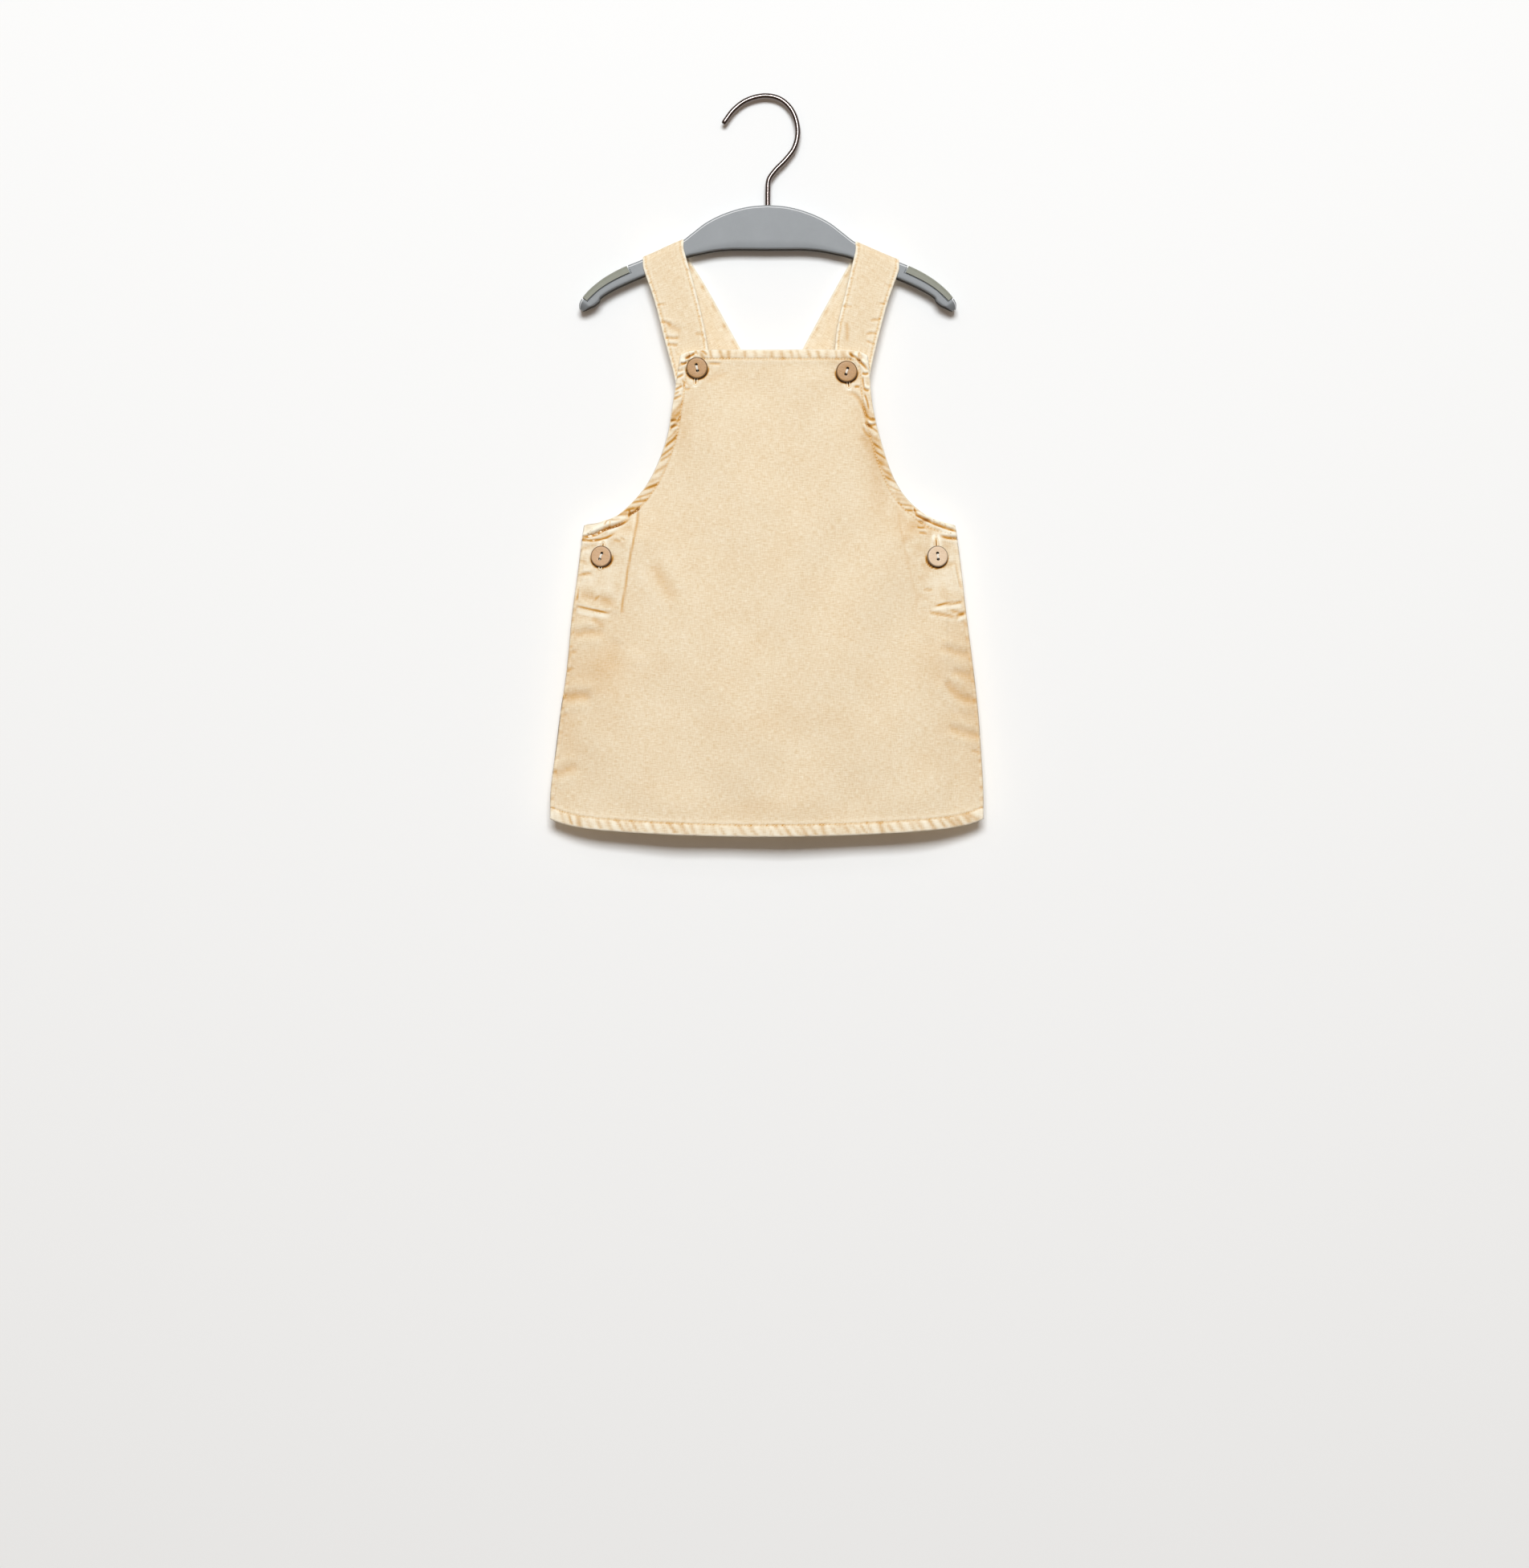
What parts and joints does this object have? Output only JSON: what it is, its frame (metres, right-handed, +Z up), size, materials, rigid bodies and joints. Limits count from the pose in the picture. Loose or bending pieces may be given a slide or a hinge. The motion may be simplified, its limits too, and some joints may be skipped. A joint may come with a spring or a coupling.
{
  "type": "pinafore dress on a hanger",
  "caption": "Baby's A-line pinafore dress of sand-coloured cotton, with buttoned straps and buttoned side openings, hanging flat on a grey plastic hanger with a wire hook.",
  "frame": {"origin": "highest point inside the hanger's hook, above the stem, where a rail or peg carries it", "axes": "+Z up, -Y out of the dress's front, +X to the right as seen from the front"},
  "size_m": [0.3055, 0.0271, 0.5237],
  "materials": {
    "cotton": "washed plain weave",
    "hanger_plastic": "satin, finely grained",
    "grip_rubber": "matt soft grip",
    "hook_steel": "dark plated wire",
    "button_dark": "speckled brown, waxed",
    "button_pale": "pale brown, waxed"
  },
  "bodies": {
    "root": {"front_panel": "cotton", "back_panel": "cotton", "strap_left": "cotton", "strap_right": "cotton", "button_bib_left": "button_dark", "button_bib_right": "button_dark", "button_side_left": "button_pale", "button_side_right": "button_pale", "hanger_body": "hanger_plastic", "grip_left": "grip_rubber", "grip_right": "grip_rubber", "hanger_hook": "hook_steel"}
  },
  "joints": []
}
